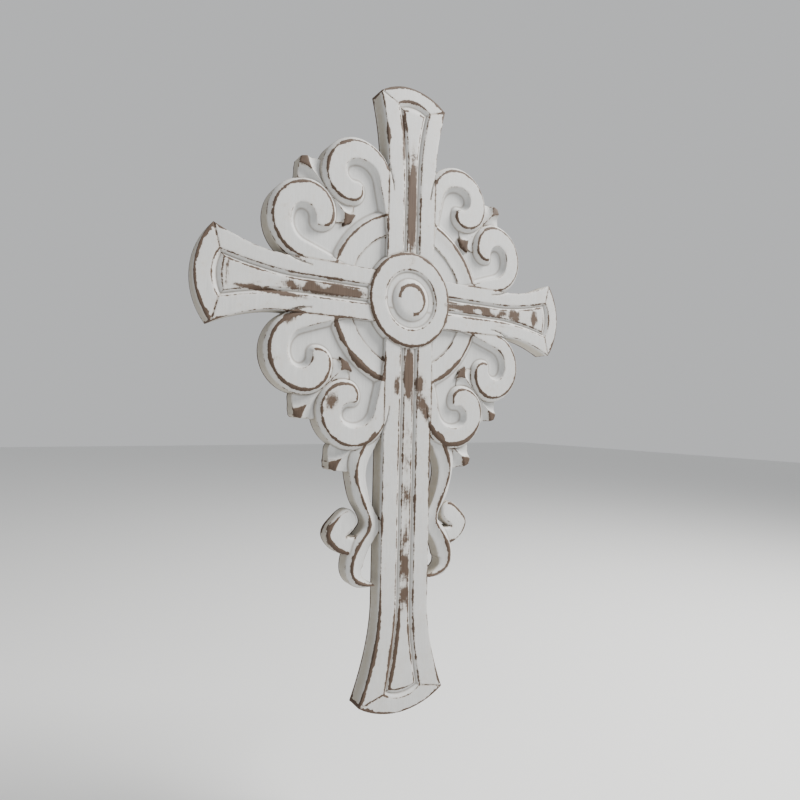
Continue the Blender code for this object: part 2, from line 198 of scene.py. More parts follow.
# radius from the boss's axis, and height above the back
RING_PROFILE = (
    (0.0, 0.0), (RING_OUTER, 0.0), (RING_OUTER, BOARD - GROUND_DEPTH - OVERLAP), (0.0808, BOARD - 0.0046),
    (0.0790, BOARD - 0.0028), (RING_CREST, BOARD - 0.0021), (0.0745, BOARD - 0.0023),
    (0.0700, BOARD - 0.0028), (0.0650, BOARD - 0.0031), (RING_STEP + OVERLAP, BOARD - 0.0030),
    (RING_STEP, BOARD - 0.0042), (0.0500, BOARD - 0.0044), (0.0, BOARD - 0.0044))
TURNED_STEPS = 120
DEGREES_PER_STEP = 6.0


def arc(centre, radius, start, end):
    """Points on a circle, from the angle start to the angle end in degrees."""
    steps = max(1, math.ceil(abs(end - start) / DEGREES_PER_STEP))
    points = []
    for step in range(steps + 1):
        angle = math.radians(start + (end - start) * step / steps)
        points.append((centre[0] + radius * math.cos(angle), centre[1] + radius * math.sin(angle)))
    return points


def turned(name, profile):
    """A solid turned about the boss's axis from rows of (radius, height above the back)."""
    shape = bmesh.new()
    verts = [shape.verts.new((radius, -height, 0)) for radius, height in profile]
    edges = [shape.edges.new(pair) for pair in zip(verts, verts[1:])]
    bmesh.ops.spin(shape, geom=verts + edges, cent=(0, 0, 0), axis=(0, 1, 0), angle=math.tau,
                   steps=TURNED_STEPS, use_merge=True)
    bmesh.ops.remove_doubles(shape, verts=shape.verts, dist=MERGE)
    return placed(name, shape)


# the ground reaches in under the scrolls, which are joined on top of it
UNDER_SCROLL = 0.6
under = arc(SCROLL_CENTRE, UNDER_SCROLL * SCROLL_RADIUS, 170.0, -30.0)
ground = [(PAST_MIDDLE, PAST_MIDDLE)] + [(along, across) for across, along in under] + under[::-1]
QUARTERS = ((1, 1), (-1, 1), (1, -1), (-1, -1))
for flip_x, flip_z in QUARTERS:
    join(cross, slab("ground", [(x * flip_x, z * flip_z) for x, z in ground], BOARD - GROUND_DEPTH))
join(cross, turned("ring", RING_PROFILE))


# The leaves and the buds, carved from the same board. Each slopes down to its tip and is gouged out on both
# sides of a ridge into two hollow petals. The ridge opens at the tip into a small flat like a spearhead.
# Root, angle, length, half width, where the flat starts, how wide it gets, the drops along the ridge, and
# how deep the petals are against the outer leaves' ones.
OUTER_LEAF = ((0.0790, 0.0790), 45.0, 0.0385, 0.0150, 0.66, 0.34, (0.0040, 0.0026, 0.0040, 0.0048), 1.0)
LOWER_LEAF = ((0.0430, -0.1240), -39.0, 0.0405, 0.0150, 0.66, 0.36, (0.0040, 0.0026, 0.0040, 0.0048), 1.0)
BUD = ((0.0830, 0.0830), 225.0, 0.0330, 0.0140, 0.70, 0.58, (0.0036, 0.0020, 0.0026, 0.0030), 0.5)
SHOULDER = 0.92
# the outline and the fall of a petal, against the share of the length
LEAF_SIDE = ((0.0, 0.40, 0.60, 0.70, 0.76, 0.84, SHOULDER, 0.97, 1.0),
             (1.0, 1.0, 1.0, 0.95, 0.82, 0.56, 0.36, 0.17, 0.08))
PETAL_FALL = ((0.0, 0.35, 0.70, 1.0), (0.0022, 0.0036, 0.0040, 0.0036))
PETAL_STEEPNESS = 0.0026
PETAL_SCOOP = 0.0006
LEAF_SEGMENTS = 28
HALFWAY_WIDTH = 0.36
SHOULDER_REACH = 0.02


def flat_width(u, apex, wide):
    """Half the width of the flat at a leaf's tip, as a share of the leaf's own half width."""
    return np.interp(u, (apex, (apex + SHOULDER) / 2, SHOULDER, 1.0), (0.0, HALFWAY_WIDTH * wide, wide, 0.0))


def leaf(name, sizes, flip_x, flip_z):
    """One leaf: a grid shaped to its outline and hollowed, then drawn down to the back."""
    root, angle, length, half_width, apex, wide, drops, hollow = sizes
    shape = bmesh.new()
    bmesh.ops.create_grid(shape, x_segments=LEAF_SEGMENTS, y_segments=LEAF_SEGMENTS, size=1.0)
    for vert in shape.verts:
        u = (vert.co.x + 1) / 2
        side = max(np.interp(u, *LEAF_SIDE), wide if abs(u - SHOULDER) < SHOULDER_REACH else 0)
        v = vert.co.y * side
        past_flat = max(abs(v) - flat_width(u, apex, wide), 0.0) * half_width
        fall = hollow * np.interp(u, *PETAL_FALL) * (1 - math.exp(-past_flat / PETAL_STEEPNESS))
        scoop = PETAL_SCOOP * math.sin(math.pi * min(past_flat / half_width, 1.0))
        drop = np.interp(u, (0.0, apex, SHOULDER, 1.0), drops)
        vert.co = (u * length, drop + fall + scoop - BOARD, v * half_width)
    rim = [edge for edge in shape.edges if edge.is_boundary]
    grown = bmesh.ops.extrude_edge_only(shape, edges=rim)["geom"]
    for item in grown:
        if isinstance(item, bmesh.types.BMVert):
            item.co.y = 0.0
    bmesh.ops.edgeloop_fill(shape, edges=[item for item in grown if isinstance(item, bmesh.types.BMEdge)
                                          and item.is_boundary])
    turn = Matrix.Rotation(-math.radians(angle), 4, "Y")
    bmesh.ops.transform(shape, verts=shape.verts, matrix=Matrix.Diagonal((flip_x, 1, flip_z, 1))
                        @ Matrix.Translation((root[0], 0, root[1])) @ turn)
    return placed(name, shape)


for flip_x, flip_z in QUARTERS:
    join(cross, leaf("leaf", OUTER_LEAF, flip_x, flip_z))
    join(cross, leaf("bud", BUD, flip_x, flip_z))
for flip_x in (1, -1):
    join(cross, leaf("lower_leaf", LOWER_LEAF, flip_x, 1))


# The fretwork beside the shaft, sawn through the same board. A strip with a worn crest and a hollow slope
# on each side runs down from the leaf, touches the shaft at its waist and ends in a hook, and a curl with a
# falling face leaves it. Crest across and up, then width inside and outside the crest.
STRIP = (
    (0.0310, -0.1160, 0.0090, 0.0090),
    (0.0410, -0.1285, 0.0110, 0.0100),
    (0.0480, -0.1430, 0.0110, 0.0080),
    (0.0495, -0.1580, 0.0105, 0.0050),
    (0.0435, -0.1750, 0.0080, 0.0065),
    (0.0367, -0.1905, 0.0075, 0.0045),
    (0.0353, -0.1990, 0.0125, 0.0040),
    (0.0378, -0.2060, 0.0105, 0.0050),
    (0.0450, -0.2160, 0.0110, 0.0062),
    (0.0505, -0.2270, 0.0120, 0.0056),
    (0.0515, -0.2380, 0.0110, 0.0052),
    (0.0465, -0.2460, 0.0075, 0.0050),
    (0.0385, -0.2500, 0.0040, 0.0035),
    (0.0290, -0.2520, 0.0010, 0.0010),
)
# across the strip: share of the width on its side (inside is negative) and the drop there
STRIP_SECTION = ((-1.0, None), (-1.0, 0.0047), (-0.62, 0.0041), (-0.28, 0.0030), (-0.05, 0.0019),
                 (0.05, 0.0018), (0.35, 0.0030), (0.7, 0.0043), (1.0, 0.0056), (1.0, None))
STRIP_STEPS = 6
CURL = (
    (0.0410, -0.2085), (0.0470, -0.2105), (0.0530, -0.2105), (0.0572, -0.2085), (0.0545, -0.2050),
    (0.0500, -0.2015), (0.0472, -0.1965), (0.0482, -0.1905), (0.0535, -0.1870), (0.0590, -0.1885),
    (0.0650, -0.1935), (0.0712, -0.2000), (0.0727, -0.2060), (0.0695, -0.2125), (0.0630, -0.2185),
    (0.0550, -0.2215), (0.0460, -0.2195),
)
CURL_STEPS = 4
CURL_DROP = 0.0042
CURL_FALL = 0.10
# the curl's rounded edge, as (distance out, drop)
CURL_PROFILE = ((0.0022, None), (0.0022, 0.0026), (0.0016, 0.0013), (0.0006, 0.0003), (0.0, 0.0))
SHRINK = 0.9
SLACK = 1e-7
LEAST_SQUARE = 1e-18


def curve_through(rows, steps, closed):
    """Rows of numbers read from a smooth curve through the given rows."""
    count = len(rows)
    found = []
    for place in range(count if closed else count - 1):
        if closed:
            around = [rows[(place + shift) % count] for shift in (-1, 0, 1, 2)]
        else:
            around = [rows[min(max(place + shift, 0), count - 1)] for shift in (-1, 0, 1, 2)]
        for step in range(steps):
            t = step / steps
            weights = (-t + 2 * t ** 2 - t ** 3, 2 - 5 * t ** 2 + 3 * t ** 3,
                       t + 4 * t ** 2 - 3 * t ** 3, t ** 3 - t ** 2)
            found.append(tuple(sum(w * v for w, v in zip(weights, column)) / 2 for column in zip(*around)))
    if not closed:
        found.append(tuple(rows[-1]))
    return found


def gap_to(points, line):
    """How far each point is from a line of points."""
    points = np.asarray(points, dtype=float)
    line = np.asarray(line, dtype=float)
    nearest = np.full(len(points), np.inf)
    for start, end in zip(line, line[1:]):
        run = end - start
        share = np.clip((points - start) @ run / max(run @ run, LEAST_SQUARE), 0.0, 1.0)
        gap = np.linalg.norm(points - start - share[:, None] * run, axis=1)
        nearest = np.minimum(nearest, gap)
    return nearest


def parallel(outline, distances):
    """An anticlockwise outline moved outwards by a distance at each point, or less where it would meet
    itself."""
    here = np.array(outline)
    ahead = np.roll(here, -1, axis=0) - here
    normals = np.stack((ahead[:, 1], -ahead[:, 0]), axis=1) / np.linalg.norm(ahead, axis=1)[:, None]
    across = normals + np.roll(normals, 1, axis=0)
    across *= 2 / np.maximum((across ** 2).sum(axis=1), 1.0)[:, None]
    ring = np.vstack((here, here[:1]))
    distances = np.array(distances, dtype=float)
    while True:
        moved = here + across * distances[:, None]
        tight = gap_to(moved, ring) < SHRINK * distances - SLACK
        if not tight.any():
            return [tuple(point) for point in moved]
        distances[tight] *= SHRINK


def strip(name, flip_x):
    """The fretwork strip, swept along its crest."""
    rows = curve_through(STRIP, STRIP_STEPS, closed=False)
    rings = []
    for place, (x, z, inside, outside) in enumerate(rows):
        before = rows[max(place - 1, 0)]
        after = rows[min(place + 1, len(rows) - 1)]
        run = math.hypot(after[0] - before[0], after[1] - before[1])
        outward = ((before[1] - after[1]) / run, (after[0] - before[0]) / run)
        ring = []
        for share, drop in STRIP_SECTION:
            reach = share * (inside if share < 0 else outside)
            height = 0.0 if drop is None else BOARD - drop
            ring.append((flip_x * (x + outward[0] * reach), -height, z + outward[1] * reach))
        rings.append(ring)
    return carved(name, rings)


def curl(name, flip_x):
    """The fretwork's curl, with a rounded edge."""
    outline = anticlockwise([(x * flip_x, z) for x, z in curve_through(CURL, CURL_STEPS, closed=True)])
    low = min(z for x, z in outline)
    rings = []
    for reach, drop in CURL_PROFILE:
        ring = []
        for (x, z), (from_x, from_z) in zip(parallel(outline, [reach] * len(outline)), outline):
            height = 0.0 if drop is None else BOARD - CURL_DROP - CURL_FALL * (from_z - low) - drop
            ring.append((x, -height, z))
        rings.append(ring)
    return carved(name, rings)


for flip_x in (1, -1):
    join(cross, strip("strip", flip_x))
    join(cross, curl("curl", flip_x))


# The scrolls. Eight bands of the same wood, which leave the arms, turn outwards and roll up to a blunt
# head. Their faces are level with the arms, their outer edges slope, and their inner edges drop in a cove to
# the ground.
SCROLL_TURN_RADIUS = 0.0217
SCROLL_TAIL_RADIUS = 0.0106
SCROLL_TIP_RADIUS = 0.0030
EYE_FROM_TAIL = (-0.0044, 0.0153)
EYE_RADIUS = 0.0102
EYE_SWEEP_RADIUS = 0.0190
TOP_STEM = 0.0600
SIDE_STEM = 0.0660
# where the arcs of a scroll start and end, in degrees: its outer edge, its tighter turn, its tail, its
# blunt tip, and the eye on its inner side
OUTER_START = 172.0
TURN_END = -98.0
TAIL_END = -196.0
TIP_END = TAIL_END - 70.0
EYE_START = -94.0
EYE_END = 60.0
TAIL_STEEPENING = 0.6
COVE_WIDTH = 0.0052
SUNK = GROUND_DEPTH + OVERLAP
# the outer edge, then the inner edge, as (distance out, drop)
SCROLL_PROFILE = (((0.0, 0.0), (0.0, 0.0)), ((0.0013, 0.0011), (0.0005, 0.0014)),
                  ((0.0027, 0.0025), (0.0011, 0.0028)), ((0.0038, 0.0039), (0.0022, 0.0042)),
                  ((0.0040, 0.0050), (0.0036, 0.0051)), ((0.0040, SUNK), (COVE_WIDTH, SUNK)))


def beyond(centre, distance, angle):
    """The point at a distance from a centre, in the direction of an angle in degrees."""
    turn = math.radians(angle)
    return centre[0] + distance * math.cos(turn), centre[1] + distance * math.sin(turn)


def scroll_lines(half_width, stem):
    """A scroll's outer edge, its blunt tip and its inner edge, as (across, along) from the arm's middle."""
    turn_centre = beyond(SCROLL_CENTRE, SCROLL_RADIUS - SCROLL_TURN_RADIUS, 0)
    tail_centre = beyond(turn_centre, SCROLL_TURN_RADIUS - SCROLL_TAIL_RADIUS, TURN_END)
    tip_centre = beyond(tail_centre, SCROLL_TAIL_RADIUS - SCROLL_TIP_RADIUS, TAIL_END)
    eye_centre = (tail_centre[0] + EYE_FROM_TAIL[0], tail_centre[1] + EYE_FROM_TAIL[1])
    sweep_centre = beyond(eye_centre, EYE_RADIUS - EYE_SWEEP_RADIUS, EYE_END)
    foot = (half_width, stem)
    bearing = math.degrees(math.atan2(sweep_centre[1] - foot[1], sweep_centre[0] - foot[0]))
    lean = math.degrees(math.asin(EYE_SWEEP_RADIUS / math.dist(foot, sweep_centre)))
    outer = arc(SCROLL_CENTRE, SCROLL_RADIUS, OUTER_START, 0.0)
    outer += arc(turn_centre, SCROLL_TURN_RADIUS, 0.0, TURN_END)[1:]
    tail = arc(tail_centre, SCROLL_TAIL_RADIUS, TURN_END, TAIL_END)[1:]
    tip = arc(tip_centre, SCROLL_TIP_RADIUS, TAIL_END, TIP_END)[1::2]
    inner = arc(eye_centre, EYE_RADIUS, EYE_START, EYE_END)
    inner += arc(sweep_centre, EYE_SWEEP_RADIUS, EYE_END, bearing + lean + 90.0)[1:]
    inner.append(beyond(foot, COVE_WIDTH, bearing + lean + 180.0))
    return outer, tail, tip, inner


def scroll(half_width, stem, beside_upright):
    """The rings of a scroll in the upper right corner, from its face down to the back."""
    outer, tail, tip, inner = scroll_lines(half_width, stem)
    plan = [(across, along, 0.0) for across, along in outer]
    plan += [(a, b, TAIL_STEEPENING * step / len(tail)) for step, (a, b) in enumerate(tail, 1)]
    plan += [(a, b, TAIL_STEEPENING + (1 - TAIL_STEEPENING) * step / (len(tip) + 1))
             for step, (a, b) in enumerate(tip, 1)]
    plan += [(across, along, 1.0) for across, along in inner]
    plan += [(half_width / 2, stem - COVE_WIDTH, 0.0), (half_width / 2, SCROLL_CENTRE[1], 0.0)]
    if not beside_upright:
        plan = [(along, across, share) for across, along, share in plan]
    plan = anticlockwise(plan)
    outline = [(x, z) for x, z, share in plan]
    rings = []
    for (out, out_drop), (cove, cove_drop) in SCROLL_PROFILE:
        moved = parallel(outline, [out + (cove - out) * share for x, z, share in plan])
        drops = [out_drop + (cove_drop - out_drop) * share for x, z, share in plan]
        rings.append([(x, drop - BOARD, z) for (x, z), drop in zip(moved, drops)])
    rings.append([(x, 0.0, z) for x, y, z in rings[-1]])
    return rings


for rings in (scroll(TOP_ARM[0], TOP_STEM, True), scroll(SIDE_ARM[0], SIDE_STEM, False)):
    for flip_x, flip_z in QUARTERS:
        join(cross, carved("scroll", [[(x * flip_x, y, z * flip_z) for x, y, z in ring] for ring in rings]))


# The grooves. A V groove, cut round the inside of each arm, leaves a flat border and a long raised panel.
# The outer edge of each scroll runs on as a short V cut into its arm.
GROOVE_DEPTH = 0.0022
PANEL_DROP = 0.0004
RIM_INNER = 0.0272
# the panel's foot stands this share of the way out from the groove's floor line, so that the two don't meet
FOOT_SHARE = 0.05

for direction, (field, panel) in FIELDS.items():
    rim = anticlockwise(aimed(arm_outline(field, RIM_INNER), direction))
    crown = anticlockwise(aimed(arm_outline(panel, RIM_INNER), direction))
    floor_line = [((a[0] + b[0]) / 2, (a[1] + b[1]) / 2) for a, b in zip(rim, crown)]
    above = [(2 * a[0] - b[0], 2 * a[1] - b[1]) for a, b in zip(rim, floor_line)]
    bottom = GROOVE_DEPTH - BOARD
    join(cross, carved("groove", [[(x, -BOARD - GROOVE_DEPTH, z) for x, z in above],
                                  [(x, bottom, z) for x, z in floor_line]]), "DIFFERENCE")
    foot = [(a[0] + FOOT_SHARE * (b[0] - a[0]), a[1] + FOOT_SHARE * (b[1] - a[1]))
            for a, b in zip(floor_line, rim)]
    join(cross, carved("panel", [[(x, bottom + GROOVE_DEPTH, z) for x, z in foot],
                                 [(x, bottom, z) for x, z in foot],
                                 [(x, PANEL_DROP - BOARD, z) for x, z in crown]]))

# across from the arm's side, and along it
CREASE = ((0.0012, 0.1190), (-0.0006, 0.1145), (-0.0025, 0.1095), (-0.0042, 0.1030), (-0.0052, 0.0960))
CREASE_WIDTH = 0.0016
CREASE_DEPTH = 0.0017
for half_width, beside_upright in ((TOP_ARM[0], True), (SIDE_ARM[0], False)):
    for flip_x, flip_z in QUARTERS:
        line = [(half_width + across, along) for across, along in CREASE]
        if not beside_upright:
            line = [(along, across) for across, along in line]
        line = [(x * flip_x, z * flip_z) for x, z in line]
        join(cross, v_cut("crease", line, CREASE_WIDTH, CREASE_DEPTH), "DIFFERENCE")


# The boss. A disc with a flat rim, a dish and a knob with a flat top, carved from the same board and
# standing a little above the arms.
RIM_OUTER = 0.0418
KNOB_RADIUS = 0.0132
BOSS_PROFILE = (
    (0.0, 0.0), (0.0444, 0.0), (0.0444, BOARD - 0.0042), (0.0438, BOARD - 0.0016), (0.0430, BOARD + 0.0004),
    (RIM_OUTER, BOARD + 0.0018), (RIM_INNER, BOARD + 0.0018), (0.0262, BOARD + 0.0012),
    (0.0244, BOARD - 0.0004), (0.0228, BOARD - 0.0012), (0.0215, BOARD - 0.0012),
    (0.0198, BOARD - 0.0002), (0.0182, BOARD + 0.0012), (0.0160, BOARD + 0.0023),
    (KNOB_RADIUS, BOARD + 0.0030), (0.0, BOARD + 0.0030))
join(cross, turned("boss", BOSS_PROFILE))


# The carver's finish. Hairline gaps that the joins leave at the back are closed, the arrises are rubbed
# round with sandpaper, and the outlines wander a little, as they do in hand work. The surface is cut into
# small facets, finer beside the arrises, so that the paint's wear can follow each edge.
ARRIS = math.radians(24)
SHARP = math.radians(38)
LEVEL = 0.002
CARVED_SIDE = -0.004
OFF_BACK = -0.001
FACETS = (0.032, 0.016, 0.008, 0.0048, 0.0032, 0.0022)
COARSE = 0.0048
NEAR_ARRIS = 0.0012
STEP_BETWEEN_SAMPLES = 0.0004
SANDINGS = 2
SANDED = 0.3
WANDER = Vector((0.00035, 0.00012, 0.00035))
WANDERS_PER_METRE = 38
WANDERS_FROM = -0.002
# any whole number but 0 gives the same wander in every run
WANDER_SEED = 1

board = bmesh.new()
board.from_mesh(cross.data)
bmesh.ops.remove_doubles(board, verts=board.verts, dist=MERGE)
bmesh.ops.holes_fill(board, edges=[edge for edge in board.edges if edge.is_boundary], sides=0)
bmesh.ops.triangulate(board, faces=[face for face in board.faces if len(face.verts) > 3])
bmesh.ops.recalc_face_normals(board, faces=board.faces)


def arrises(shape, way=1):
    """The sharp edges of the carved side: the ones that stand out, or with way -1 the ones that lie in."""
    return [edge for edge in shape.edges if edge.is_manifold and way * edge.calc_face_angle_signed() > ARRIS
            and min(vert.co.y for vert in edge.verts) < CARVED_SIDE]


def finder(edges):
    """A search tree of points along some edges, and the points."""
    points = []
    for edge in edges:
        a, b = (vert.co.copy() for vert in edge.verts)
        count = max(1, round((b - a).length / STEP_BETWEEN_SAMPLES))
        points += [a.lerp(b, (step + 0.5) / count) for step in range(count)]
    tree = kdtree.KDTree(len(points))
    for place, point in enumerate(points):
        tree.insert(point, place)
    tree.balance()
    return tree, points


near_arris, samples = finder(arrises(board))
near_hollow = finder(arrises(board, -1))[0]

for length in FACETS:
    long_edges = []
    for edge in board.edges:
        run = edge.calc_length()
        if run <= length:
            continue
        middle = (edge.verts[0].co + edge.verts[1].co) / 2
        close = near_arris.find(middle)[2] < NEAR_ARRIS + run / 2
        if middle.y < OFF_BACK and run > (length if close else max(length, COARSE)):
            long_edges.append(edge)
    bmesh.ops.subdivide_edges(board, edges=long_edges, cuts=1)
    bmesh.ops.triangulate(board, faces=[face for face in board.faces if len(face.verts) > 3])
    level = [edge for edge in board.edges if edge.is_manifold and edge.calc_face_angle() < LEVEL
             and max(vert.co.y for vert in edge.verts) < OFF_BACK]
    bmesh.ops.beautify_fill(board, faces=board.faces, edges=level)

for sanding in range(SANDINGS):
    sanded = {vert for edge in arrises(board) for vert in edge.verts}
    bmesh.ops.smooth_vert(board, verts=list(sanded), factor=SANDED, use_axis_x=True, use_axis_y=True,
                          use_axis_z=True)
noise.seed_set(WANDER_SEED)
for vert in board.verts:
    if vert.co.y < WANDERS_FROM:
        vert.co += WANDER * noise.noise_vector(vert.co * WANDERS_PER_METRE)
board.normal_update()
board.to_mesh(cross.data)
board.free()
cross.data.shade_smooth()
cross.data.set_sharp_from_angle(angle=SHARP)


# The paint. White paint, brushed on thin and sanded back to the brown wood along the edges, at the corners
# and in patches on the panels. The sawn sides are painted thinner; dust and painted shade darken the
# hollows.
# Each row of WORN is a place (across, up), how far it reaches, and how much wider the bare line is there.
WORN = (
    (0.0335, 0.1815, 0.010, 0.0022), (-0.0335, 0.1795, 0.010, 0.0008), (-0.0250, 0.1440, 0.008, 0.0022),
    (-0.1760, 0.0360, 0.010, 0.0020), (-0.1760, -0.0360, 0.010, 0.0014), (0.1870, -0.0330, 0.012, 0.0012),
    (0.0, 0.1927, 0.030, 0.0006), (-0.0330, -0.3050, 0.038, 0.0019), (-0.0420, -0.3530, 0.014, 0.0022),
    (0.0420, -0.3530, 0.012, 0.0014), (0.0250, -0.1500, 0.012, 0.0010), (-0.0270, -0.1970, 0.008, 0.0010),
    (0.0600, -0.1250, 0.018, 0.0014), (0.1050, -0.0560, 0.020, 0.0008), (-0.1000, -0.0700, 0.020, 0.0006),
    (-0.1110, -0.0240, 0.010, 0.0014), (-0.0720, -0.0320, 0.012, 0.0012), (-0.0430, -0.0640, 0.014, 0.0016),
    (0.0500, -0.0600, 0.014, 0.0008), (0.0640, 0.0430, 0.014, 0.0008), (-0.0700, -0.2100, 0.010, 0.0012),
    (-0.0560, -0.2200, 0.010, 0.0010), (0.0730, -0.2040, 0.012, 0.0006), (0.0500, -0.2360, 0.014, 0.0008),
    (0.0250, -0.1250, 0.016, 0.0010), (0.0250, -0.1800, 0.014, 0.0010), (0.0400, -0.3380, 0.012, 0.0008),
)
# Each row of PATCHES is an ellipse of bare wood: across, up, half its width and height, its tilt in
# degrees, and how far it is bare (more than nothing) or painted over (less).
PATCHES = (
    (0.0000, 0.0850, 0.0052, 0.0440, 0, 0.0030), (0.0000, 0.1300, 0.0040, 0.0160, 0, 0.0012),
    (-0.0105, 0.1440, 0.0022, 0.0280, 2, 0.0024), (-0.1330, -0.0085, 0.0340, 0.0024, -3, 0.0024),
    (-0.1640, 0.0000, 0.0018, 0.0110, 0, 0.0020), (-0.0850, -0.0010, 0.0400, 0.0050, 0, 0.0030),
    (-0.1060, 0.0010, 0.0060, 0.0040, 0, -0.0019), (-0.0850, 0.0012, 0.0080, 0.0030, 0, -0.0020),
    (0.0800, 0.0000, 0.0420, 0.0046, 0, 0.0024), (0.1270, 0.0000, 0.0090, 0.0070, 0, 0.0024),
    (0.1410, 0.0000, 0.0060, 0.0060, 0, -0.0034), (0.1550, 0.0000, 0.0052, 0.0090, 0, 0.0026),
    (0.1000, 0.0010, 0.0060, 0.0030, 0, -0.0022), (0.0790, -0.0010, 0.0060, 0.0026, 0, -0.0022),
    (0.0000, -0.0660, 0.0056, 0.0240, 0, 0.0030), (0.0000, -0.1400, 0.0044, 0.0400, 0, 0.0008),
    (0.0000, -0.1760, 0.0046, 0.0140, 0, 0.0014), (0.0000, -0.2500, 0.0050, 0.0500, 0, 0.0026),
    (0.0010, -0.2240, 0.0036, 0.0060, 0, -0.0017), (-0.0008, -0.2510, 0.0036, 0.0090, 0, -0.0017),
    (0.0004, -0.2880, 0.0036, 0.0200, 0, -0.0022), (-0.0125, -0.0775, 0.0036, 0.0090, 0, 0.0024),
    (0.0115, -0.0760, 0.0050, 0.0100, 0, 0.0024), (0.0170, -0.0960, 0.0060, 0.0140, 25, 0.0023),
    (-0.0760, -0.0930, 0.0060, 0.0090, -20, 0.0021), (-0.1130, -0.0260, 0.0100, 0.0050, 40, 0.0018),
)
SPEAR_WEAR = 0.0016
SPEAR_SPREAD = 0.0004
CREST_WEAR = 0.0011
CURL_WEAR = 0.0008
KNOB_WEAR = 0.0016
# how wide the bare line is along each kind of edge
PLAIN_LINE = 0.0001
GROOVE_LINE = 0.0006
SCROLL_LINE = 0.0013
SIDE_LINE = 0.0005
END_LINE = 0.0018
RIM_LINE = 0.0017
DISH_LINE = 0.0005
STEP_LINE = 0.0006
ON_LINE = 0.0006
NEAR_LINE = 0.0010
# where nothing wears an edge but its own thin line, this share of WORN reaches it
FAINT = 0.25
# the front faces and crests, down to these depths
CREST_DEPTH = -0.0110
TIP_DEPTH = -0.0105
CURL_DEPTH = -0.0040
FACE_DEPTH = -0.0150
# the strip and the curl lie below these heights, and the curl stands out past CURL_ASIDE
STRIP_TOP = -0.118
CURL_TOP = -0.184
CURL_ASIDE = 0.0440
# the stretch of the curl's edge that is worn, counted in steps along it
WORN_CURL = slice(32, 61)
PAST_TIP = 1.02
ON_KNOB = 0.02
# the knob's edge keeps its paint round this direction, in degrees
KNOB_UNWORN = -135
KNOB_UNWORN_HALF = 50
WIDER = 1.3
# the back is bare, and the paint on the sides stops just short of it
BACK_BARE = 0.0040
BACK_STEEPNESS = 2.5
PAINTED = -0.0030
SMEAR_EDGE = 0.0012
DUST_AND_SHADE_REACH = 0.0016
SAWN_FROM = -0.0145
SAWN_SOFT = 0.0015
SIDEWAYS = 1.4
SIDEWAYS_FADE = 2.2


def falloff(x, z, row):
    """How much of an ellipse's wear reaches each place."""
    across, up, half_wide, half_high, tilt, amount = row
    turn = math.radians(tilt)
    u = ((x - across) * math.cos(turn) + (z - up) * math.sin(turn)) / half_wide
    v = ((z - up) * math.cos(turn) - (x - across) * math.sin(turn)) / half_high
    return amount * np.exp(-(u * u + v * v) ** 2)


spots = np.array(samples)
plan = spots[:, (0, 2)]
x, z = plan[:, 0], plan[:, 1]
from_boss = np.hypot(x, z)
lines = scroll_lines(TOP_ARM[0], TOP_STEM)
outer = lines[0] + lines[1]
from_outer = np.minimum(gap_to(np.abs(plan), outer), gap_to(np.abs(plan[:, ::-1]), outer))
from_side = np.min([gap_to(plan, aimed(arm_outline(ARMS[direction], PAST_MIDDLE), direction))
                    for direction in ARMS], axis=0)
past_corner = (np.abs(x) > SIDE_ARM[3]) | (z > TOP_ARM[3]) | (z < -FOOT_ARM[3])
width = np.full(len(spots), PLAIN_LINE)
from_groove = np.min([gap_to(plan, aimed(arm_outline(sizes, RIM_INNER), direction))
                      for direction, pair in FIELDS.items() for sizes in pair], axis=0)
for on_line, line_width in (
        (from_groove < ON_LINE, GROOVE_LINE), (from_outer < ON_LINE, SCROLL_LINE),
        (from_side < ON_LINE, SIDE_LINE), ((from_side < ON_LINE) & past_corner, END_LINE),
        (np.abs(from_boss - RIM_OUTER) < ON_LINE, RIM_LINE),
        (np.abs(from_boss - RIM_INNER) < ON_LINE, DISH_LINE),
        (np.abs(from_boss - RING_STEP) < NEAR_LINE, STEP_LINE)):
    width[on_line] = line_width
kept = np.where(width == PLAIN_LINE, FAINT, 1.0)
for across, up, reach, more in WORN:
    width += kept * falloff(x, z, (across, up, reach, reach, 0, more))

points = np.empty(3 * len(cross.data.vertices))
cross.data.vertices.foreach_get("co", points)
points = points.reshape(-1, 3)
found = [near_arris.find(point) for point in points]
bare = width[[hit[1] for hit in found]] - np.array([hit[2] for hit in found])
x, depth, z = points.T
folded = np.stack((np.abs(x), z), axis=1)
from_boss = np.hypot(x, z)
worn_here = sum(falloff(x, z, (across, up, WIDER * reach, WIDER * reach, 0, more))
                for across, up, reach, more in WORN)
crest_high = depth < CREST_DEPTH


def rubbed(bare, where, how_bare):
    """The bare distances, with the paint also rubbed away in a place, where it isn't gone already."""
    return np.where(where, np.maximum(bare, how_bare), bare)


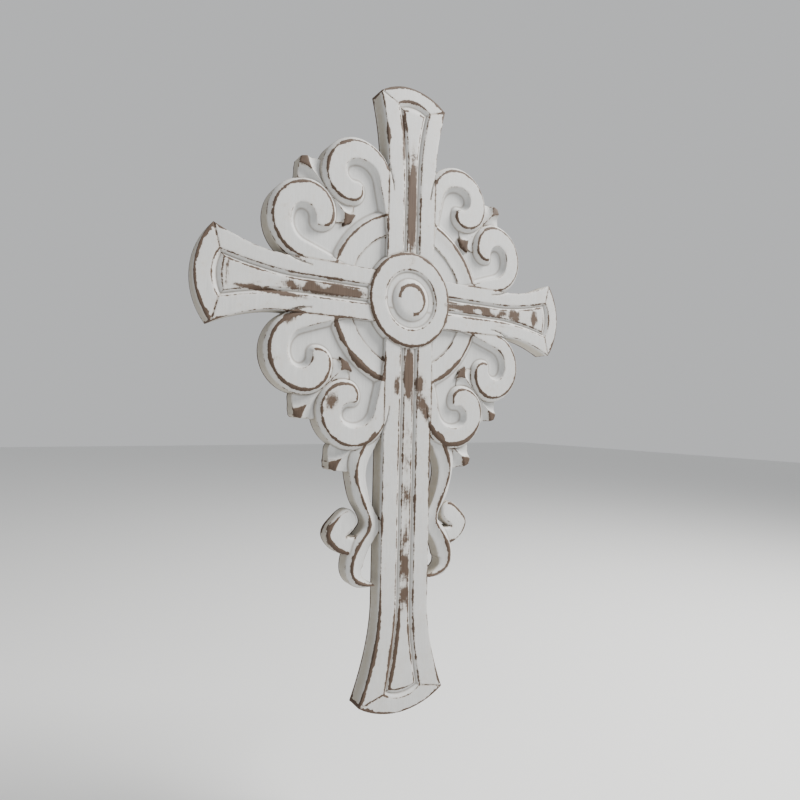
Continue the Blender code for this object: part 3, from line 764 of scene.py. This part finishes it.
on_ring = (from_boss > RING_STEP) & (from_boss < RING_OUTER)
between_arms = (np.abs(x) > TOP_ARM[0]) & (np.abs(z) > SIDE_ARM[0])
bare = rubbed(bare, crest_high & on_ring & between_arms,
              CREST_WEAR + worn_here - np.abs(from_boss - RING_CREST))
from_unworn = np.abs(np.degrees(np.arctan2(z, x)) - KNOB_UNWORN)
bare = rubbed(bare, (from_boss < ON_KNOB) & (from_unworn > KNOB_UNWORN_HALF),
              KNOB_WEAR - np.abs(from_boss - KNOB_RADIUS))
crest = [(across, up) for across, up, inside, outside in curve_through(STRIP, STRIP_STEPS, closed=False)]
bare = rubbed(bare, crest_high & (z < STRIP_TOP), CREST_WEAR + worn_here - gap_to(folded, crest))
for sizes, fold in ((OUTER_LEAF, np.abs(z)), (BUD, np.abs(z)), (LOWER_LEAF, z)):
    root, angle, length, half_width, apex, wide = sizes[:6]
    turn = math.radians(angle)
    along = ((np.abs(x) - root[0]) * math.cos(turn) + (fold - root[1]) * math.sin(turn)) / length
    aside = np.abs((fold - root[1]) * math.cos(turn) - (np.abs(x) - root[0]) * math.sin(turn)) / half_width
    inside = (flat_width(along, apex, wide) - aside) * half_width
    on_flat = (along > apex) & (along < PAST_TIP) & (aside < 1)
    bare = rubbed(bare, on_flat & (depth < TIP_DEPTH) & (from_boss > RING_OUTER),
                  np.minimum(inside + SPEAR_SPREAD, SPEAR_WEAR))
curl_edge = curve_through(CURL, CURL_STEPS, closed=True)[WORN_CURL]
bare = rubbed(bare, (z < CURL_TOP) & (np.abs(x) > CURL_ASIDE) & (depth < CURL_DEPTH),
              CURL_WEAR + worn_here - gap_to(folded, curl_edge))
bare = np.maximum(bare, BACK_BARE + BACK_STEEPNESS * depth)
smeared = np.full(len(points), PAINTED)
for row in PATCHES:
    patch = falloff(x, z, row)
    smeared = np.maximum(smeared, patch - SMEAR_EDGE) if row[-1] > 0 else smeared + patch
smeared[depth > FACE_DEPTH] = PAINTED
# closeness to the concave creases, for the darkening there: partly dust, partly painted shade of the hollows
dust_and_shade = np.array([DUST_AND_SHADE_REACH - near_hollow.find(point)[2] for point in points])
facing = np.empty(3 * len(points))
cross.data.vertices.foreach_get("normal", facing)
upright = np.clip(SIDEWAYS - SIDEWAYS_FADE * np.abs(facing.reshape(-1, 3)[:, 1]), 0, 1)
sawn = upright * np.clip((depth - SAWN_FROM) / SAWN_SOFT, 0, 1)
# the paint's nodes read the distances in millimetres, and how far a place is sawn from 0 to 1
for name, values in (("bare", 1000 * bare), ("smeared", 1000 * smeared), ("dust_and_shade", 1000 * dust_and_shade),
                     ("sawn", sawn)):
    cross.data.attributes.new(name, "FLOAT", "POINT").data.foreach_set("value", values)


class Wire:
    """A socket of the paint's nodes that adds, subtracts, multiplies and divides as a number does."""

    def __init__(self, tree, socket):
        self.tree = tree
        self.socket = socket

    def node(self, kind, settings=None, output=0, **values):
        """A node of a kind, with its settings made first, then the values or wires of its sockets."""
        made = self.tree.nodes.new(kind)
        for name, value in (settings or {}).items():
            setattr(made, name, value)
        for name, value in values.items():
            place = int(name[2:]) if name.startswith("at") else name.replace("_", " ")
            if isinstance(value, Wire):
                self.tree.links.new(value.socket, made.inputs[place])
            else:
                made.inputs[place].default_value = value
        return Wire(self.tree, made.outputs[output])

    def maths(self, operation, first, second):
        """A Math node on two numbers or wires."""
        return self.node("ShaderNodeMath", {"operation": operation}, at0=first, at1=second)

    def __add__(self, other):
        return self.maths("ADD", self, other)

    def __sub__(self, other):
        return self.maths("SUBTRACT", self, other)

    def __mul__(self, other):
        return self.maths("MULTIPLY", self, other)

    def __truediv__(self, other):
        return self.maths("DIVIDE", self, other)

    def __rsub__(self, other):
        return self.maths("SUBTRACT", other, self)

    __radd__ = __add__

    def above(self, level, soft):
        """1 where this is above a level and 0 below it, with a soft step of the width given."""
        return self.node("ShaderNodeMapRange", {"interpolation_type": "SMOOTHSTEP"}, Value=self,
                         From_Min=level - soft, From_Max=level + soft)

    def blend(self, share, other):
        """This colour turned into another by a share."""
        return self.node("ShaderNodeMix", {"data_type": "RGBA"}, output=2, at0=share, at6=self, at7=other)


DARK_WOOD = (0.034, 0.020, 0.013, 1)
LIGHT_WOOD = (0.112, 0.074, 0.050, 1)
DULL_WHITE = (0.41, 0.41, 0.40, 1)
BRIGHT_WHITE = (0.575, 0.575, 0.567, 1)
SAWN_PAINT = (0.36, 0.325, 0.265, 1)
# the colour of the hollows: partly settled dust, partly painted shade
GRIME_AND_SHADE = (0.225, 0.20, 0.172, 1)
THIN_PAINT = (0.44, 0.39, 0.33, 1)


def ragged_by(distance, noises):
    """A distance in millimetres, moved in and out by noises of the widths given."""
    for spots, width in noises:
        distance = distance + (spots - 0.5) * width
    return distance


def whitewashed_wood():
    """Brown wood under thin white paint, which is rubbed off by the bare attribute."""
    paint = bpy.data.materials.new("whitewashed_wood")
    paint.use_nodes = True
    tree = paint.node_tree
    shader = tree.nodes["Principled BSDF"]
    wire = Wire(tree, None)
    place = wire.node("ShaderNodeTexCoord", output=3)
    worn = wire.node("ShaderNodeAttribute", {"attribute_name": "bare"}, output=2)
    smeared = wire.node("ShaderNodeAttribute", {"attribute_name": "smeared"}, output=2)
    dust_and_shade = wire.node("ShaderNodeAttribute", {"attribute_name": "dust_and_shade"}, output=2)
    sawn = wire.node("ShaderNodeAttribute", {"attribute_name": "sawn"}, output=2)

    def speckle(scale, detail, rough=0.55, stretch=(1, 1, 1)):
        """Noise from 0 to 1, about 0.5, with so many spots to the metre."""
        moved = wire.node("ShaderNodeMapping", Vector=place, Scale=stretch)
        return wire.node("ShaderNodeTexNoise", Vector=moved, Scale=scale, Detail=detail, Roughness=rough)

    broad = speckle(60, 2)
    ragged = speckle(260, 5, 0.65)
    fine = speckle(1100, 3, 0.6)
    streaks = speckle(90, 4, 0.6, (9, 9, 0.6))
    edge = ragged_by(worn, ((broad, 3.6), (ragged, 3.0), (fine, 1.0)))
    smear = ragged_by(smeared, ((broad, 2.0), (ragged, 3.0), (streaks, 2.0), (fine, 0.8)))
    bare_wood = wire.maths("MAXIMUM", edge.above(0.0, 0.10), smear.above(0.0, 0.55))
    thin = wire.maths("MAXIMUM", edge.above(-0.7, 0.5), smear.above(-0.8, 0.6))
    grain = speckle(160, 6, 0.6, (7, 7, 0.35))
    wood = grain.node("ShaderNodeMix", {"data_type": "RGBA"}, output=2, at0=grain,
                      at6=DARK_WOOD, at7=LIGHT_WOOD)
    white = streaks.node("ShaderNodeMix", {"data_type": "RGBA"}, output=2, at0=streaks,
                         at6=DULL_WHITE, at7=BRIGHT_WHITE)
    white = white.blend(sawn * (0.5 + ragged * 0.8), SAWN_PAINT)
    # painted shade: a grey-brown darkening along the concave creases, partly settled dust and partly the
    # shade that falls in the hollows
    in_hollow = (dust_and_shade / (1000 * DUST_AND_SHADE_REACH)).above(0.45, 0.5)
    grimed_and_shaded = white.blend(in_hollow * (0.42 + ragged * 0.6), GRIME_AND_SHADE)
    washed = grimed_and_shaded.blend(thin * 0.38, THIN_PAINT)
    colour = washed.blend(bare_wood, wood)
    tree.links.new(colour.socket, shader.inputs["Base Color"])
    rough = 0.62 + bare_wood * 0.16 + (fine - 0.5) * 0.15
    tree.links.new(rough.socket, shader.inputs["Roughness"])
    height = (1 - bare_wood) * 0.35 + streaks * 0.10 + fine * 0.10 + grain * bare_wood * 0.3
    bump = wire.node("ShaderNodeBump", Height=height, Distance=0.0006, Strength=0.6)
    tree.links.new(bump.socket, shader.inputs["Normal"])
    shader.inputs["Specular IOR Level"].default_value = 0.35
    return paint


cross.data.materials.clear()
cross.data.materials.append(whitewashed_wood())
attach(cross, "root")
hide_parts("carved_cross")


# The stage: a plain pale floor, soft light from the upper right, and the photograph's camera.
FLOOR_HALF = 6.0
FLOOR_DROP = 0.12
FLOOR_COLOUR = (0.75, 0.75, 0.74, 1)
SKY_COLOUR = (0.97, 0.985, 1.0, 1)
SKY_STRENGTH = 0.60

floor = bmesh.new()
bmesh.ops.create_grid(floor, x_segments=1, y_segments=1, size=FLOOR_HALF)
ground_plane = placed("floor", floor)
ground_plane.data.transform(Matrix.Translation((0, 0, cad_box[0][2] - FLOOR_DROP)))
floor_paint = bpy.data.materials.new("pale_floor")
floor_paint.use_nodes = True
floor_paint.node_tree.nodes["Principled BSDF"].inputs["Base Color"].default_value = FLOOR_COLOUR
ground_plane.data.materials.append(floor_paint)


def softbox(name, place, size, energy, colour):
    """A square area light that faces the boss."""
    light = bpy.data.lights.new(name, "AREA")
    light.size = size
    light.energy = energy
    light.color = colour
    box = bpy.data.objects.new(name, light)
    box.location = place
    box.rotation_euler = (-Vector(place)).to_track_quat("-Z", "Y").to_euler()
    bpy.context.scene.collection.objects.link(box)


softbox("window", (1.05, -0.60, 1.15), 0.7, 82, (1.0, 0.99, 0.97))
softbox("room", (-0.9, -1.6, 0.1), 2.0, 9, (0.96, 0.98, 1.0))
world = bpy.data.worlds.new("world")
world.use_nodes = True
world.node_tree.nodes["Background"].inputs["Color"].default_value = SKY_COLOUR
world.node_tree.nodes["Background"].inputs["Strength"].default_value = SKY_STRENGTH
bpy.context.scene.world = world

camera = bpy.data.objects.new("camera", bpy.data.cameras.new("camera"))
camera.location = (-0.28427, -0.45172, -0.10285)
camera.rotation_euler = [math.radians(angle) for angle in (91.4177, -1.268, -32.4302)]
camera.data.lens = 26.024
bpy.context.scene.collection.objects.link(camera)
bpy.context.scene.camera = camera
